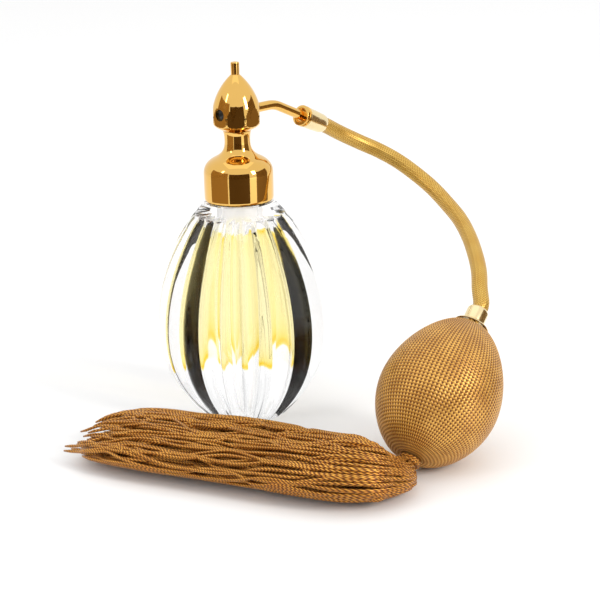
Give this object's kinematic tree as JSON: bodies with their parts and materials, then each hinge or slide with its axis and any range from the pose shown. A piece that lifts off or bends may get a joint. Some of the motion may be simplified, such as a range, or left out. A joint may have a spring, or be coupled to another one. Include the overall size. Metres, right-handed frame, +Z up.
{
  "type": "perfume atomizer",
  "caption": "Fluted clear glass scent bottle with an amber inner layer, gold screw-on swivel spray head, fabric-covered hose, netted squeeze bulb and thread tassel",
  "frame": {"origin": "middle of the bottle's foot, on the surface it stands on", "axes": "+Z up, +Y to the back, +X to the right: the bulb lies at the front right and the tassel crosses in front of the bottle"},
  "size_m": [0.1494, 0.1427, 0.1317],
  "materials": {
    "clear_glass": "gloss",
    "amber_glass": "gloss",
    "gold": "gloss",
    "pale_gold": "satin",
    "inner_brass": "satin",
    "seal_rubber": "matte",
    "clear_plastic": "gloss",
    "black_plastic": "matte",
    "gold_braid": "satin",
    "bulb_rubber": "matte",
    "net_thread": "satin",
    "tassel_thread": "satin",
    "steel": "satin"
  },
  "bodies": {
    "bottle": {"bottle_glass": "clear_glass", "amber_casing": "amber_glass", "neck_ring": "gold"},
    "seal": {"neck_gasket": "seal_rubber"},
    "stem": {"swivel_stem": "gold", "siphon_tube": "clear_plastic"},
    "collar": {"collar_shell": "gold", "collar_insert": "inner_brass"},
    "head": {"acorn_head": "gold", "swivel_bush": "inner_brass", "head_seal": "seal_rubber", "finial_pin": "gold", "jet_nozzle": "black_plastic", "air_tube": "gold", "tube_nut": "gold", "hose_ferrule": "gold", "hose": "gold_braid"},
    "bulb": {"bulb_spigot": "inner_brass", "bulb_nut": "pale_gold", "bulb_flange": "pale_gold", "bulb_washer": "inner_brass", "bulb_bladder": "bulb_rubber", "bulb_net": "net_thread"},
    "tail": {"intake_valve": "pale_gold", "ball_retainer": "steel", "net_tie": "tassel_thread"},
    "ball": {"valve_ball": "steel"},
    "tassel": {"tassel_head": "tassel_thread", "tassel": "tassel_thread"}
  },
  "joints": [
    {"name": "pull_out", "type": "slide", "parent": "bottle", "child": "seal", "axis": [0, 0, 1], "range_m": [0, 0.1]},
    {"name": "thread_lift", "type": "slide", "parent": "seal", "child": "stem", "axis": [0, 0, 1], "range_m": [0, 0.0045]},
    {"name": "collar_turn", "type": "hinge", "parent": "stem", "child": "collar", "pos_m": [0, 0, 0.09], "axis": [0, 0, 1], "range_deg": [0, 1080]},
    {"name": "head_swivel", "type": "hinge", "parent": "stem", "child": "head", "pos_m": [0, 0, 0.11], "axis": [0, 0, 1], "continuous": true},
    {"name": "hose_flex", "type": "hinge", "parent": "head", "child": "bulb", "pos_m": [0.03083, 0.03083, 0.10266], "axis": [-0.9112, -0.4121, 0], "range_deg": [0, 35], "deforming": ["hose"]},
    {"name": "bulb_squeeze", "type": "slide", "parent": "bulb", "child": "tail", "axis": [0.4292, 0.6609, 0.6157], "range_m": [0, 0.005], "stiffness_N_per_m": 2500, "deforming": ["bulb_bladder", "bulb_net"]},
    {"name": "inlet_ball", "type": "slide", "parent": "tail", "child": "ball", "axis": [0.4292, 0.6609, 0.6157], "range_m": [0, 0.0008]},
    {"name": "tassel_swing", "type": "hinge", "parent": "tail", "child": "tassel", "pos_m": [0.05531, -0.07166, 0.00478], "axis": [0, 0, 1], "range_deg": [-2, 40]}
  ],
  "couplings": [
    {"joint": "thread_lift", "follows": "collar_turn", "m_per_rad": 0.00023873}
  ]
}
